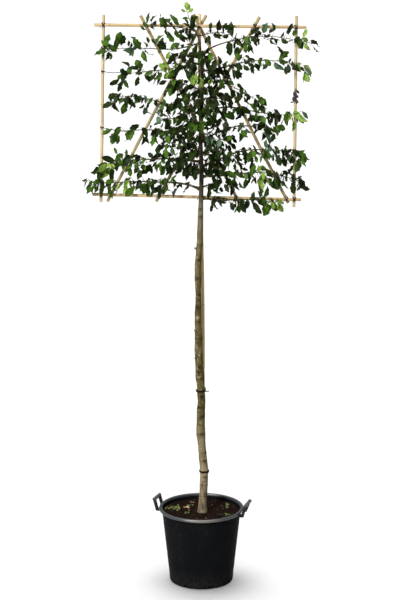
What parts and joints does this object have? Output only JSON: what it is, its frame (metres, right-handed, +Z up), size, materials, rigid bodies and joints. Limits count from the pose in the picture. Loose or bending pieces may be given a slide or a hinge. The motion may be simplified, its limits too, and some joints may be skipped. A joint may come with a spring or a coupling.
{
  "type": "potted espaliered Persian ironwood tree on a cane frame",
  "caption": "Clear-stemmed Persian ironwood with a square crown trained flat on a bamboo cane frame, growing in a round black nursery container with clip-on handles.",
  "frame": {"origin": "centre of the container's flat underside", "axes": "+X along the width of the flat crown, +Y towards the back of the cane frame, +Z up the trunk"},
  "size_m": [1.4403, 0.52, 3.5681],
  "materials": {
    "pot": "charcoal-black moulded plastic, matte, slightly worn and paler on the rolled rim",
    "soil": "dark brown moist potting compost with pale chips and small green weeds",
    "bark": "grey-brown bark, smooth with dark knots and a green tinge of algae",
    "cane": "pale tan bamboo, satin, with darker rings at its nodes",
    "tie": "black soft tie, matte",
    "foliage": "dark green leaves, satin, some paler and yellower",
    "withered": "dry, curled, dark purple-brown leaves"
  },
  "bodies": {
    "root": {"pot": "pot", "soil": "soil", "handle_left": "pot", "handle_right": "pot", "trunk": "bark", "bough_left_1": "bark", "bough_left_2": "bark", "bough_left_3": "bark", "bough_left_4": "bark", "bough_left_5": "bark", "bough_left_6": "bark", "bough_right_1": "bark", "bough_right_2": "bark", "bough_right_3": "bark", "bough_right_4": "bark", "bough_right_5": "bark", "bough_right_6": "bark", "bough_right_7": "bark", "bough_right_8": "bark", "cane_top": "cane", "cane_bottom": "cane", "cane_side_left": "cane", "cane_side_right": "cane", "centre_cane": "cane", "cane_slant_a": "cane", "cane_slant_b": "cane", "cane_slant_c": "cane", "cane_slant_d": "cane", "trunk_tie_low": "tie", "trunk_tie_high": "tie", "foliage_left_1": "foliage", "foliage_left_2": "foliage", "foliage_left_2_inner": "foliage", "foliage_left_3": "foliage", "foliage_left_3_inner": "foliage", "foliage_left_4": "foliage", "foliage_left_4_inner": "foliage", "foliage_left_5": "foliage", "foliage_left_6_inner": "foliage", "foliage_left_6": "foliage", "foliage_left_7": "foliage", "foliage_right_1": "foliage", "foliage_right_1_inner": "foliage", "foliage_right_2": "foliage", "foliage_right_3": "foliage", "foliage_right_3_inner": "foliage", "foliage_right_4": "foliage", "foliage_right_5": "foliage", "foliage_right_5_inner": "foliage", "foliage_right_6": "foliage", "foliage_right_7": "foliage", "foliage_right_8": "foliage", "foliage_right_9": "foliage", "foliage_front_1": "foliage", "foliage_front_2": "foliage", "foliage_front_3": "foliage", "foliage_front_4": "foliage", "foliage_leader": "foliage", "foliage_withered": "withered"}
  },
  "joints": []
}
